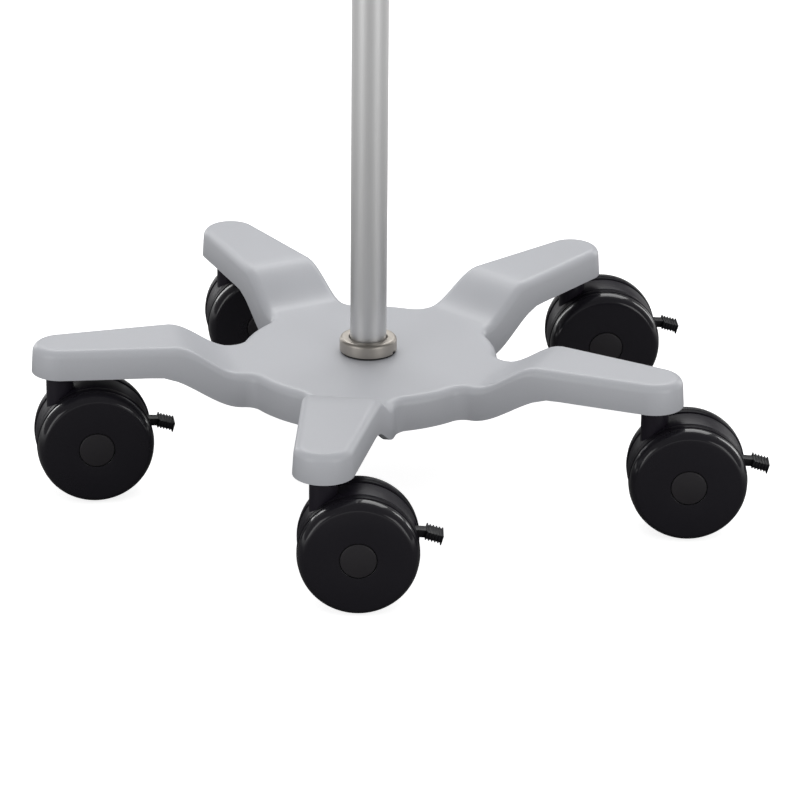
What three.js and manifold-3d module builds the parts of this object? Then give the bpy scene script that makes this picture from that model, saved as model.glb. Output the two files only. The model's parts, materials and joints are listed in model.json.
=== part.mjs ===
// A rolling stand: a five-leg die-cast base on twin-wheel casters, with a straight round pole.
// Millimetres, +Z up. The floor is z = 0, the pole stands on the Z axis and one leg points along -Y.
import * as THREE from 'three';
import Module from 'manifold-3d';
import { mergeVertices } from 'three/addons/utils/BufferGeometryUtils.js';

// ---------------------------------------------------------------- driving sizes
const MESH_GAP = 0.3; // clearance kept between two pieces that touch

const LEG_COUNT = 5;
const STEM_CIRCLE = 271; // pole axis to each caster's swivel axis
const TIP_REACH = 24; // swivel axis to the end of the leg
const TIP_HALF = 26; // half the leg's width at its tip
const ROOT_HALF = 39; // half the leg's width where it leaves the hub
const LEG_DEPTH = 25.5; // height of the leg's side at the tip
const LEG_RISE = 25.4; // leg top above hub top
const RISE_LENGTH = 56; // stretch over which the leg's top rises, from the hub outwards
const UNDER_LENGTH = 72; // the same for its lower edge
const HUB_RADIUS = 114; // edge of the hub half way between two legs
const HUB_DEPTH = 29.6; // height of the hub's side
const VALLEY_RADIUS = 15; // rounding in plan between hub and leg
const EDGE_RADIUS = 7; // rounding along the top edge
const WALL_DRAFT = 1.5; // how far the sides lean in at the top
const SKIRT_WALL = 5; // thickness of the casting's sides
const DECK_WALL = 7; // thickness of its top
const RIB_WIDTH = 5;
const RIB_SETBACK = 4; // lower edge of the ribs above the edge of the skirt

const POLE_DIAMETER = 31.75;
const POLE_WALL = 1.65;
const POLE_LENGTH = 990;
const SOCKET_WALL = 9; // round the pole's foot, under the deck
const SOCKET_FLOOR = 6;
const PLUG_LENGTH = 30;
const BOLT_DIAMETER = 10;
const BOLT_HEAD = 17; // across flats
const BOLT_HEAD_HEIGHT = 6.4;
const BOLT_BITE = 20; // length of bolt inside the plug
const BOLT_WASHER_DIAMETER = 26;
const BOLT_WASHER_THICK = 2;
const CAP_RIM = 3; // height of the pole cap above the tube
const CAP_SPIGOT = 18; // length of the pole cap inside the tube

const COLLAR_WALL = 9.125; // pole's surface to the collar's rim
const COLLAR_HEIGHT = 12;
const COLLAR_ROUND = 3.2;
const COLLAR_CHAMFER = 1;
const COLLAR_BORE_GAP = 0.6; // pole's surface to the collar's bore
const COLLAR_WASHER_THICK = 1.3;
const COLLAR_WASHER_INSET = 0.8; // how far the washer stays inside the collar's rim
const NOTCH_WIDTH = 5;
const NOTCH_HEIGHT = 2.2;
const NOTCH_LEG = 1; // the notch points along this leg

const WHEEL_DIAMETER = 101.6;
const TRAIL = 28.7; // swivel axis to axle
const HOOD_WIDTH = 24;
const HOOD_INSET = 0.6; // hood top below the tyres' tread
const WHEEL_CLEARANCE = 1; // hood to wheel
const TYRE_WIDTH = 8;
const TYRE_DEPTH = 6.5;
const TYRE_CROWN = 0.9; // fall of the tread at its edges
const TYRE_ROUND = 1.4; // width of the fall
const COVER_DEPTH = 12.4; // tyre to the wheel's flat outer face
const COVER_RIM_DROP = 0.5; // the cover's rim below the tread
const COVER_SHOULDER = 6.3; // width of the cover's rounded edge
const HUB_CAP_RADIUS = 15;
const HUB_CAP_THICK = 2.6;
const HUB_CAP_PROUD = 0.5;
const HUB_CAP_GROOVE = 0.7; // gap round the hub cap
const AXLE_DIAMETER = 8;
const AXLE_BOSS = 17; // radius of the housing round the axle
const NECK_INSET = 0.2; // side of the hood to the side of the neck
const NECK_RISE = 11; // top of the wheels to the top of the neck
const NECK_BEVEL = 1;
const SWIVEL_GAP = 1.2; // between neck and leg
const STEM_DIAMETER = 11;
const STEM_FLANGE_DIAMETER = 19;
const STEM_BITE = 17; // stem inside the leg
const STEM_DROP = 34; // stem inside the neck
const STEM_BOSS_WALL = 7;
const STEM_CHAMFER = 1;
const HOOD_FRONT_ANGLE = 192; // degrees round the axle, from the rear
const HOOD_REAR_ANGLE = -6;
const AXLE_BOSS_FROM = 225;
const AXLE_BOSS_TO = 315;

const LEVER_WIDTH = 10;
const LEVER_SLOT_GAP = 0.6;
const LEVER_PIVOT_INSET = 18.8; // tread to pivot, along the floor
const LEVER_PIVOT_Z = 13; // above the axle
const LEVER_THICK = 6.6;
const LEVER_BARREL = 5; // radius of the barrel round the pivot
const PAD_GAP = 5.2; // tread to pad
const PAD_LENGTH = 14.5;
const PAD_WIDTH = 18;
const PAD_THICK = 6;
const LEVER_TILT = 4; // degrees down from level, as parked
const PAD_DROOP = 12; // degrees, below the lever's own line
const PAD_LIP = 2; // drop of the pad's curled end
const PAD_RIBS = 5;
const PAD_RIB_HEIGHT = 0.6;

// Flats round a circle, for large and small pieces, and steps along the other curves.
const LARGE = 28;
const MEDIUM = 20;
const SMALL = 12;
const HOOD_STEPS = 20;
const RIM_STEPS = 2;
const VALLEY_STEPS = 4;
const RISE_STEPS = 7;
const SIDE_STEPS = 5;
const TIP_STEPS = 5;
const EDGE_STEPS = 3;
const CURVE_STEPS = 4;

const OVERCUT = 1; // how far a cutting body passes the face it cuts
const WELD = 1e-4; // corners closer than this are one corner

// Which way each caster trails, in degrees from +X, leg by leg round from the front one.
const CASTERS = [
  { name: 'front', trailing: 8.2 },
  { name: 'right', trailing: 7.5 },
  { name: 'back_right', trailing: 11.5 },
  { name: 'back_left', trailing: 14 },
  { name: 'left', trailing: 15.7 },
];

// ---------------------------------------------------------------- sizes that follow
const FRONT = -Math.PI / 2;
const LEG_STEP = (2 * Math.PI) / LEG_COUNT;
const CASTER_HEIGHT = WHEEL_DIAMETER + NECK_RISE;
const LEG_UNDER = CASTER_HEIGHT + SWIVEL_GAP;
const LEG_TOP = LEG_UNDER + LEG_DEPTH;
const HUB_TOP = LEG_TOP - LEG_RISE;
const HUB_UNDER = HUB_TOP - HUB_DEPTH;
const TIP_CENTRE = STEM_CIRCLE + TIP_REACH - TIP_HALF;
const VALLEY_Y = ROOT_HALF + VALLEY_RADIUS;
const VALLEY_X = Math.sqrt((HUB_RADIUS + VALLEY_RADIUS) ** 2 - VALLEY_Y ** 2);
const VALLEY_ANGLE = Math.atan2(VALLEY_Y, VALLEY_X);
const RISE_END = VALLEY_X + RISE_LENGTH;
const POLE_RADIUS = POLE_DIAMETER / 2;
const POLE_BORE = POLE_RADIUS - POLE_WALL;
const SOCKET_RADIUS = POLE_RADIUS + MESH_GAP;
const POLE_FOOT = HUB_UNDER + SOCKET_FLOOR + MESH_GAP;
const POLE_TOP = POLE_FOOT + POLE_LENGTH;
const COLLAR_FOOT = HUB_TOP + COLLAR_WASHER_THICK + 2 * MESH_GAP;
const COLLAR_RADIUS = POLE_RADIUS + COLLAR_WALL;
const COLLAR_BORE = POLE_RADIUS + COLLAR_BORE_GAP;
const WHEEL_RADIUS = WHEEL_DIAMETER / 2;
const WHEEL_INNER = HOOD_WIDTH / 2 + WHEEL_CLEARANCE;
const TYRE_OUTER = WHEEL_INNER + TYRE_WIDTH;
const COVER_RIM = TYRE_OUTER + MESH_GAP;
const COVER_FACE = TYRE_OUTER + COVER_DEPTH;
const COVER_RADIUS = WHEEL_RADIUS - COVER_RIM_DROP;
const COVER_FACE_RADIUS = COVER_RADIUS - COVER_SHOULDER;
const RIM_RADIUS = WHEEL_RADIUS - TYRE_DEPTH;
const HOOD_RADIUS = WHEEL_RADIUS - HOOD_INSET;
const NECK_RADIUS = HOOD_WIDTH / 2 - NECK_INSET;
const LEVER_PIVOT_X = WHEEL_RADIUS - LEVER_PIVOT_INSET;
const PAD_START = WHEEL_RADIUS + PAD_GAP;
const AXLE_RADIUS = AXLE_DIAMETER / 2;
const CAP_SEAT = COVER_FACE + HUB_CAP_PROUD - HUB_CAP_THICK;
const AXLE_END = CAP_SEAT - MESH_GAP;
const STEM_RADIUS = STEM_DIAMETER / 2;
const STEM_TOP = LEG_UNDER + STEM_BITE;
const STEM_FOOT = CASTER_HEIGHT - STEM_DROP;

const rad = THREE.MathUtils.degToRad;
const ease = (value, from, to) => THREE.MathUtils.smoothstep(value, from, to);

// ---------------------------------------------------------------- materials
const paint = (name, color, roughness, metalness) => (
  new THREE.MeshStandardMaterial({ name, color, roughness, metalness })
);
const MATERIALS = {
  powder_coat: paint('powder_coat', 0xb3b5b9, 0.5, 0.1),
  aluminium: paint('aluminium', 0x9c9d9c, 0.38, 0.9),
  nickel: paint('nickel', 0x8b887e, 0.34, 0.9),
  steel: paint('steel', 0x8f9194, 0.35, 0.9),
  rubber: paint('rubber', 0x47434c, 0.55, 0),
  gloss: paint('gloss', 0x17171a, 0.18, 0),
  matte: paint('matte', 0x29272b, 0.55, 0),
  hood: paint('hood', 0x35323a, 0.5, 0),
};

// ---------------------------------------------------------------- solids and booleans
const wasm = await Module();
wasm.setup();

// Drops all but positions, joins the shared corners and turns the faces outward.
function closed(geometry) {
  const bare = geometry.clone();
  for (const name of Object.keys(bare.attributes)) {
    if (name !== 'position') {
      bare.deleteAttribute(name);
    }
  }
  const merged = mergeVertices(bare, WELD);
  const position = merged.attributes.position;
  const index = Array.from(merged.index.array);
  const faces = [];
  let volume = 0;
  const a = new THREE.Vector3();
  const b = new THREE.Vector3();
  const c = new THREE.Vector3();
  for (let i = 0; i < index.length; i += 3) {
    const [p, q, r] = index.slice(i, i + 3);
    if (p === q || q === r || p === r) {
      continue;
    }
    a.fromBufferAttribute(position, p);
    b.fromBufferAttribute(position, q);
    c.fromBufferAttribute(position, r);
    volume += a.dot(b.cross(c));
    faces.push([p, q, r]);
  }
  const outward = volume < 0 ? faces.map(([p, q, r]) => [p, r, q]) : faces;
  merged.setIndex(outward.flat());
  return merged;
}

function toSolid(geometry) {
  const shape = closed(geometry);
  const mesh = new wasm.Mesh({
    numProp: 3,
    vertProperties: new Float32Array(shape.attributes.position.array),
    triVerts: new Uint32Array(shape.index.array),
  });
  return new wasm.Manifold(mesh);
}

function toGeometry(solid) {
  const { vertProperties, triVerts, numProp } = solid.getMesh();
  const positions = [];
  for (let i = 0; i < vertProperties.length; i += numProp) {
    positions.push(vertProperties[i], vertProperties[i + 1], vertProperties[i + 2]);
  }
  const geometry = new THREE.BufferGeometry();
  geometry.setAttribute('position', new THREE.Float32BufferAttribute(positions, 3));
  geometry.setIndex(Array.from(triVerts));
  return geometry;
}

function combine(bodies, cuts = []) {
  const whole = bodies.map(toSolid).reduce((sum, next) => sum.add(next));
  return toGeometry(cuts.map(toSolid).reduce((left, cut) => left.subtract(cut), whole));
}

// A body of revolution about Z from [radius, z] pairs.
function turned(profile, segments) {
  const points = profile.map(([radius, z]) => new THREE.Vector2(radius, z));
  return closed(new THREE.LatheGeometry(points, segments).rotateX(Math.PI / 2));
}

// A ring about Z: its profile closes on itself.
function ring(profile, segments) {
  return turned([...profile, profile[0]], segments);
}

function cylinder(radius, from, to, segments) {
  return turned([[0, from], [radius, from], [radius, to], [0, to]], segments);
}

function box(x0, x1, y0, y1, z0, z1) {
  const geometry = new THREE.BoxGeometry(x1 - x0, y1 - y0, z1 - z0);
  return geometry.translate((x0 + x1) / 2, (y0 + y1) / 2, (z0 + z1) / 2);
}

// A side view in x and z, given thickness along y and centred on y = 0.
function plate(outline, width) {
  const shape = new THREE.Shape(outline.map(([x, z]) => new THREE.Vector2(x, z)));
  const geometry = new THREE.ExtrudeGeometry(shape, { depth: width, bevelEnabled: false });
  return geometry.translate(0, 0, -width / 2).rotateX(Math.PI / 2);
}

function arc(cx, cy, radius, from, to, steps) {
  return Array.from({ length: steps + 1 }, (_, i) => {
    const angle = from + ((to - from) * i) / steps;
    return [cx + radius * Math.cos(angle), cy + radius * Math.sin(angle)];
  });
}

// ---------------------------------------------------------------- base
// Sizes along a leg, at a distance from the pole axis.
const legTop = (along) => HUB_TOP + LEG_RISE * ease(along, VALLEY_X, RISE_END);
const legDeck = (along) => legTop(along) - DECK_WALL;
const legUnder = (along) => (
  HUB_UNDER + (LEG_UNDER - HUB_UNDER) * ease(along, VALLEY_X, VALLEY_X + UNDER_LENGTH)
);
const legHalf = (along) => (
  THREE.MathUtils.mapLinear(along, VALLEY_X, TIP_CENTRE, ROOT_HALF, TIP_HALF)
);

function steps(from, to, count) {
  return Array.from({ length: count }, (_, i) => from + ((to - from) * (i + 1)) / count);
}

// One side of a leg in plan, moved in by inset: the hub's edge, the rounding, the side and the tip.
const ROOT_INDEX = RIM_STEPS + VALLEY_STEPS; // the point where the rounding meets the leg's side
function halfOutline(inset) {
  const rim = arc(0, 0, HUB_RADIUS - inset, LEG_STEP / 2, VALLEY_ANGLE, RIM_STEPS);
  const rounding = arc(
    VALLEY_X, VALLEY_Y, VALLEY_RADIUS + inset, VALLEY_ANGLE + Math.PI, 1.5 * Math.PI, VALLEY_STEPS,
  );
  const rise = steps(VALLEY_X, RISE_END, RISE_STEPS);
  const stations = [...rise, ...steps(RISE_END, TIP_CENTRE, SIDE_STEPS).slice(0, -1)];
  const side = stations.map((along) => [along, legHalf(along) - inset]);
  const tip = arc(TIP_CENTRE, 0, TIP_HALF - inset, Math.PI / 2, 0, TIP_STEPS);
  return [...rim, ...rounding.slice(1), ...side, ...tip];
}

// The whole edge, anticlockwise. Each point is [x, y, distance along its own leg].
function outlineLoop(inset) {
  const half = halfOutline(inset);
  const leg = [
    ...half.map(([along, across]) => [along, -across]),
    ...half.slice(1, -1).reverse(),
  ];
  return Array.from({ length: LEG_COUNT }, (_, i) => FRONT + i * LEG_STEP).flatMap((turn) => (
    leg.map(([along, across]) => [
      along * Math.cos(turn) - across * Math.sin(turn),
      along * Math.sin(turn) + across * Math.cos(turn),
      along,
    ])
  ));
}

// Fills one face of the base: a fan over the hub and rungs across each leg.
function fillFace(first, centre, perLeg) {
  const tip = perLeg / 2;
  const count = perLeg * LEG_COUNT;
  const faces = [];
  for (let leg = 0; leg < LEG_COUNT; leg += 1) {
    const at = (i) => first + ((leg * perLeg + i) % count);
    for (let i = ROOT_INDEX; i < tip - 1; i += 1) {
      faces.push([at(i), at(i + 1), at(perLeg - i - 1)]);
      faces.push([at(i), at(perLeg - i - 1), at(perLeg - i)]);
    }
    faces.push([at(tip - 1), at(tip), at(tip + 1)]);
    for (let i = 0; i < ROOT_INDEX; i += 1) {
      faces.push([centre, at(i), at(i + 1)]);
      faces.push([centre, at(perLeg - i - 1), at(perLeg - i)]);
    }
    faces.push([centre, at(ROOT_INDEX), at(perLeg - ROOT_INDEX)]);
  }
  return faces;
}

// The casting as a skin of even thickness: deck, rounded edge and skirt, open underneath.
function baseShell() {
  const rounding = steps(0, Math.PI / 2, EDGE_STEPS).map((angle) => ({
    inset: WALL_DRAFT + EDGE_RADIUS * (1 - Math.sin(angle)),
    height: (along) => legTop(along) - EDGE_RADIUS * (1 - Math.cos(angle)),
  }));
  const rings = [
    { inset: WALL_DRAFT + EDGE_RADIUS, height: legTop },
    ...rounding,
    { inset: 0, height: legUnder },
    { inset: SKIRT_WALL, height: legUnder },
    { inset: WALL_DRAFT + SKIRT_WALL, height: (along) => legDeck(along) - EDGE_RADIUS / 2 },
    { inset: WALL_DRAFT + EDGE_RADIUS, height: legDeck },
  ];
  const count = outlineLoop(0).length;
  const positions = rings.flatMap(({ inset, height }) => (
    outlineLoop(inset).flatMap(([x, y, along]) => [x, y, height(along)])
  ));
  const topCentre = rings.length * count;
  const underCentre = topCentre + 1;
  positions.push(0, 0, HUB_TOP, 0, 0, HUB_TOP - DECK_WALL);
  const faces = fillFace(0, topCentre, count / LEG_COUNT);
  const under = fillFace((rings.length - 1) * count, underCentre, count / LEG_COUNT);
  faces.push(...under.map(([a, b, c]) => [a, c, b]));
  for (let r = 0; r + 1 < rings.length; r += 1) {
    for (let i = 0; i < count; i += 1) {
      const a = r * count + i;
      const b = r * count + ((i + 1) % count);
      faces.push([a, a + count, b], [b, a + count, b + count]);
    }
  }
  const geometry = new THREE.BufferGeometry();
  geometry.setAttribute('position', new THREE.Float32BufferAttribute(positions, 3));
  geometry.setIndex(faces.flat());
  return geometry;
}

// A rib under the middle of each leg, from the pole's socket to the stem's boss.
function legRib(turn) {
  const from = POLE_RADIUS + SOCKET_WALL / 2;
  const stations = [from, ...steps(VALLEY_X, VALLEY_X + UNDER_LENGTH, RISE_STEPS), STEM_CIRCLE];
  const inside = DECK_WALL / 2;
  const upper = stations.map((along) => [along, legDeck(along) + inside]);
  const lower = stations.map((along) => [along, legUnder(along) + RIB_SETBACK]);
  return plate([...lower, ...upper.reverse()], RIB_WIDTH).rotateZ(turn);
}

const legTurns = CASTERS.map((_, i) => FRONT + i * LEG_STEP);

function stemPlace(turn) {
  return [STEM_CIRCLE * Math.cos(turn), STEM_CIRCLE * Math.sin(turn), 0];
}

function base() {
  const socket = POLE_RADIUS + SOCKET_WALL;
  const bossRadius = STEM_RADIUS + STEM_BOSS_WALL;
  const inside = DECK_WALL / 2;
  const bodies = [
    baseShell(),
    cylinder(socket, HUB_UNDER, HUB_TOP - inside, LARGE),
    ...legTurns.map(legRib),
    ...legTurns.map((turn) => (
      cylinder(bossRadius, LEG_UNDER, LEG_TOP - inside, MEDIUM).translate(...stemPlace(turn))
    )),
  ];
  const cuts = [
    cylinder(SOCKET_RADIUS, HUB_UNDER + SOCKET_FLOOR, HUB_TOP + OVERCUT, LARGE),
    cylinder(BOLT_DIAMETER / 2 + MESH_GAP, HUB_UNDER - OVERCUT, HUB_TOP, SMALL),
    ...legTurns.map((turn) => (
      cylinder(STEM_RADIUS + MESH_GAP, LEG_UNDER - OVERCUT, STEM_TOP + MESH_GAP, SMALL)
        .translate(...stemPlace(turn))
    )),
  ];
  return combine(bodies, cuts);
}

// ---------------------------------------------------------------- pole and what holds it
function pole() {
  return ring([
    [POLE_BORE, POLE_FOOT],
    [POLE_RADIUS, POLE_FOOT],
    [POLE_RADIUS, POLE_TOP],
    [POLE_BORE, POLE_TOP],
  ], LARGE);
}

function polePlug() {
  const radius = POLE_BORE - MESH_GAP;
  const hole = BOLT_DIAMETER / 2 + MESH_GAP;
  const body = cylinder(radius, POLE_FOOT, POLE_FOOT + PLUG_LENGTH, LARGE);
  const cut = cylinder(hole, POLE_FOOT - OVERCUT, POLE_FOOT + BOLT_BITE + MESH_GAP, SMALL);
  return combine([body], [cut]);
}

function poleBolt() {
  const seat = HUB_UNDER - BOLT_WASHER_THICK - 2 * MESH_GAP;
  const head = cylinder(BOLT_HEAD / Math.sqrt(3), seat - BOLT_HEAD_HEIGHT, seat, 6);
  const shank = cylinder(BOLT_DIAMETER / 2, seat - BOLT_HEAD_HEIGHT / 2, POLE_FOOT + BOLT_BITE, SMALL);
  return combine([head, shank]);
}

function poleWasher() {
  const top = HUB_UNDER - MESH_GAP;
  const hole = BOLT_DIAMETER / 2 + MESH_GAP;
  return ring([
    [hole, top - BOLT_WASHER_THICK],
    [BOLT_WASHER_DIAMETER / 2, top - BOLT_WASHER_THICK],
    [BOLT_WASHER_DIAMETER / 2, top],
    [hole, top],
  ], MEDIUM);
}

function poleCap() {
  const spigot = POLE_BORE - MESH_GAP;
  const seat = POLE_TOP + MESH_GAP;
  return turned([
    [0, POLE_TOP - CAP_SPIGOT],
    [spigot, POLE_TOP - CAP_SPIGOT],
    [spigot, seat],
    [POLE_RADIUS, seat],
    [POLE_RADIUS, seat + CAP_RIM / 2],
    [POLE_RADIUS - CAP_RIM / 2, seat + CAP_RIM],
    [0, seat + CAP_RIM],
  ], LARGE);
}

// The slot in the collar's lower edge runs in from the rim as far as this radius.
const NOTCH_FROM = COLLAR_BORE + 2 * COLLAR_CHAMFER;
const notchTurn = legTurns[NOTCH_LEG];

function collar() {
  const top = COLLAR_FOOT + COLLAR_HEIGHT;
  const centre = COLLAR_RADIUS - COLLAR_ROUND;
  const body = ring([
    [COLLAR_BORE, COLLAR_FOOT],
    [COLLAR_RADIUS, COLLAR_FOOT],
    ...arc(centre, top - COLLAR_ROUND, COLLAR_ROUND, 0, Math.PI / 2, CURVE_STEPS),
    [COLLAR_BORE + COLLAR_CHAMFER, top],
    [COLLAR_BORE, top - COLLAR_CHAMFER],
  ], LARGE);
  const half = NOTCH_WIDTH / 2;
  const slot = box(
    NOTCH_FROM, COLLAR_RADIUS + OVERCUT, -half, half, COLLAR_FOOT - OVERCUT, COLLAR_FOOT + NOTCH_HEIGHT,
  );
  return combine([body], [slot.rotateZ(notchTurn)]);
}

// The washer has a key that sits in the collar's slot.
function collarWasher() {
  const foot = HUB_TOP + MESH_GAP;
  const outer = COLLAR_RADIUS - COLLAR_WASHER_INSET;
  const disc = [
    [COLLAR_BORE, foot],
    [outer, foot],
    [outer, foot + COLLAR_WASHER_THICK],
    [COLLAR_BORE, foot + COLLAR_WASHER_THICK],
  ];
  const from = NOTCH_FROM + MESH_GAP;
  const half = NOTCH_WIDTH / 2 - MESH_GAP;
  const top = COLLAR_FOOT + NOTCH_HEIGHT - MESH_GAP;
  const key = box(from, outer - MESH_GAP, -half, half, foot + MESH_GAP, top);
  return combine([ring(disc, LARGE), key.rotateZ(notchTurn)]);
}

// ---------------------------------------------------------------- caster, with its stem on the Z axis
// It trails along +X, so its axle is at x = TRAIL and lies along Y.
function stem() {
  const flange = STEM_FLANGE_DIAMETER / 2;
  return turned([
    [0, STEM_FOOT],
    [STEM_RADIUS, STEM_FOOT],
    [STEM_RADIUS, CASTER_HEIGHT + MESH_GAP],
    [flange, CASTER_HEIGHT + MESH_GAP],
    [flange, LEG_UNDER - MESH_GAP],
    [STEM_RADIUS, LEG_UNDER - MESH_GAP],
    [STEM_RADIUS, STEM_TOP - STEM_CHAMFER],
    [STEM_RADIUS - STEM_CHAMFER, STEM_TOP],
    [0, STEM_TOP],
  ], SMALL);
}

// Lays a piece made along Z over, so that it turns about the axle.
const onAxle = (geometry) => geometry.rotateX(Math.PI / 2).translate(TRAIL, 0, WHEEL_RADIUS);

function leverSlot() {
  const half = LEVER_WIDTH / 2 + LEVER_SLOT_GAP;
  const front = TRAIL + LEVER_PIVOT_X - LEVER_BARREL - 2 * LEVER_SLOT_GAP;
  const floor = WHEEL_RADIUS + LEVER_PIVOT_Z - LEVER_BARREL - LEVER_THICK;
  const ceiling = WHEEL_RADIUS + LEVER_PIVOT_Z + LEVER_BARREL + LEVER_SLOT_GAP;
  return box(front, TRAIL + WHEEL_RADIUS + OVERCUT, -half, half, floor, ceiling);
}

function housing() {
  const hood = arc(
    TRAIL, WHEEL_RADIUS, HOOD_RADIUS, rad(HOOD_REAR_ANGLE), rad(HOOD_FRONT_ANGLE), HOOD_STEPS,
  );
  const boss = arc(
    TRAIL, WHEEL_RADIUS, AXLE_BOSS, rad(AXLE_BOSS_FROM), rad(AXLE_BOSS_TO), CURVE_STEPS,
  );
  const neck = turned([
    [0, WHEEL_RADIUS],
    [NECK_RADIUS, WHEEL_RADIUS],
    [NECK_RADIUS, CASTER_HEIGHT - NECK_BEVEL],
    [NECK_RADIUS - NECK_BEVEL, CASTER_HEIGHT],
    [0, CASTER_HEIGHT],
  ], MEDIUM);
  const cuts = [
    cylinder(STEM_RADIUS + MESH_GAP, STEM_FOOT - MESH_GAP, CASTER_HEIGHT + OVERCUT, SMALL),
    onAxle(cylinder(AXLE_RADIUS + MESH_GAP, -HOOD_WIDTH, HOOD_WIDTH, SMALL)),
    leverSlot(),
  ];
  return combine([plate([...hood, ...boss], HOOD_WIDTH), neck], cuts);
}

function axle() {
  return onAxle(cylinder(AXLE_RADIUS, -AXLE_END, AXLE_END, SMALL));
}

// The wheel's own pieces are made along Z, with the outer face of the caster at the top.
function tyre() {
  const shoulder = WHEEL_RADIUS - TYRE_CROWN;
  return ring([
    [RIM_RADIUS + MESH_GAP, WHEEL_INNER],
    [shoulder, WHEEL_INNER],
    [WHEEL_RADIUS, WHEEL_INNER + TYRE_ROUND],
    [WHEEL_RADIUS, TYRE_OUTER - TYRE_ROUND],
    [shoulder, TYRE_OUTER],
    [RIM_RADIUS + MESH_GAP, TYRE_OUTER],
  ], LARGE);
}

// The disc inside the tyre and the glossy cover outside it, with a seat for the hub cap.
function wheel() {
  const bore = AXLE_RADIUS + MESH_GAP;
  const seat = HUB_CAP_RADIUS + HUB_CAP_GROOVE;
  const shoulderDepth = COVER_FACE - COVER_RIM;
  const shoulder = steps(0, Math.PI / 2, CURVE_STEPS).map((angle) => [
    COVER_FACE_RADIUS + COVER_SHOULDER * Math.cos(angle),
    COVER_RIM + shoulderDepth * Math.sin(angle),
  ]);
  return ring([
    [bore, WHEEL_INNER],
    [RIM_RADIUS, WHEEL_INNER],
    [RIM_RADIUS, COVER_RIM],
    [COVER_RADIUS, COVER_RIM],
    ...shoulder,
    [seat, COVER_FACE],
    [seat, CAP_SEAT],
    [bore, CAP_SEAT],
  ], LARGE);
}

function hubCap() {
  const top = COVER_FACE + HUB_CAP_PROUD;
  const foot = CAP_SEAT + MESH_GAP;
  return turned([
    [0, foot],
    [HUB_CAP_RADIUS, foot],
    [HUB_CAP_RADIUS, top - HUB_CAP_PROUD],
    [HUB_CAP_RADIUS - HUB_CAP_PROUD, top],
    [0, top],
  ], MEDIUM);
}

function brakeLever() {
  const half = LEVER_THICK / 2;
  const armEnd = PAD_START - LEVER_PIVOT_X;
  const end = armEnd + PAD_LENGTH;
  const face = (x) => half - (x - armEnd) * Math.tan(rad(PAD_DROOP));
  const barrel = cylinder(LEVER_BARREL, -LEVER_WIDTH / 2, LEVER_WIDTH / 2, SMALL);
  const reach = armEnd + OVERCUT;
  const arm = plate([[0, -half], [reach, -half], [reach, half], [0, half]], LEVER_WIDTH);
  const pad = plate([
    [armEnd, half - PAD_THICK],
    [end - 2 * PAD_LIP, face(end - 2 * PAD_LIP) - PAD_THICK],
    [end - PAD_LIP / 2, face(end) - PAD_THICK - PAD_LIP],
    [end, face(end) - PAD_THICK],
    [end - PAD_LIP, face(end)],
    [armEnd, half],
  ], PAD_WIDTH);
  const pitch = (PAD_LENGTH - PAD_LIP) / PAD_RIBS;
  const ribs = Array.from({ length: PAD_RIBS }, (_, i) => {
    const x = armEnd + i * pitch;
    const top = face(x) + PAD_RIB_HEIGHT;
    return box(x, x + pitch / 2, -PAD_WIDTH / 2, PAD_WIDTH / 2, face(x) - half, top);
  });
  const lever = combine([barrel.rotateX(Math.PI / 2), arm, pad, ...ribs]);
  lever.rotateY(rad(LEVER_TILT));
  return lever.translate(TRAIL + LEVER_PIVOT_X, 0, WHEEL_RADIUS + LEVER_PIVOT_Z);
}

// ---------------------------------------------------------------- assembly
function piece(name, geometry, material) {
  const mesh = new THREE.Mesh(closed(geometry), MATERIALS[material].clone());
  mesh.name = name;
  return mesh;
}

function caster({ name, trailing }, turn) {
  const group = new THREE.Group();
  group.position.set(...stemPlace(turn));
  group.rotation.z = rad(trailing);
  const add = (part, geometry, material) => group.add(piece(`${name}_${part}`, geometry, material));
  add('stem', stem(), 'steel');
  add('housing', housing(), 'hood');
  add('axle', axle(), 'steel');
  add('brake_lever', brakeLever(), 'matte');
  for (const [side, half] of [['a', 0], ['b', Math.PI]]) {
    add(`tyre_${side}`, onAxle(tyre().rotateX(half)), 'rubber');
    add(`wheel_${side}`, onAxle(wheel().rotateX(half)), 'gloss');
    add(`hub_cap_${side}`, onAxle(hubCap().rotateX(half)), 'matte');
  }
  return group;
}

const stand = new THREE.Group();
stand.add(piece('base', base(), 'powder_coat'));
stand.add(piece('pole', pole(), 'aluminium'));
stand.add(piece('pole_plug', polePlug(), 'steel'));
stand.add(piece('pole_bolt', poleBolt(), 'steel'));
stand.add(piece('pole_washer', poleWasher(), 'steel'));
stand.add(piece('pole_cap', poleCap(), 'matte'));
stand.add(piece('collar', collar(), 'nickel'));
stand.add(piece('collar_washer', collarWasher(), 'matte'));
CASTERS.forEach((spec, i) => stand.add(caster(spec, legTurns[i])));

export default stand;
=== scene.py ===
# %% [markdown]
# # A rolling pole stand
# A light grey five-leg casting rolls on twin-wheel casters and carries one straight aluminium
# tube. The frame that is loaded here fixes every size, place and joint. This lesson builds the
# shapes and finishes that are seen: rounded castings, turned metal, domed wheels and moulded
# levers. Everything is in metres, with +Z up and the floor at z = 0.

# %% Load the fixed frame
import json
import math

import bmesh
import bpy
from mathutils import Matrix, Vector


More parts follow.
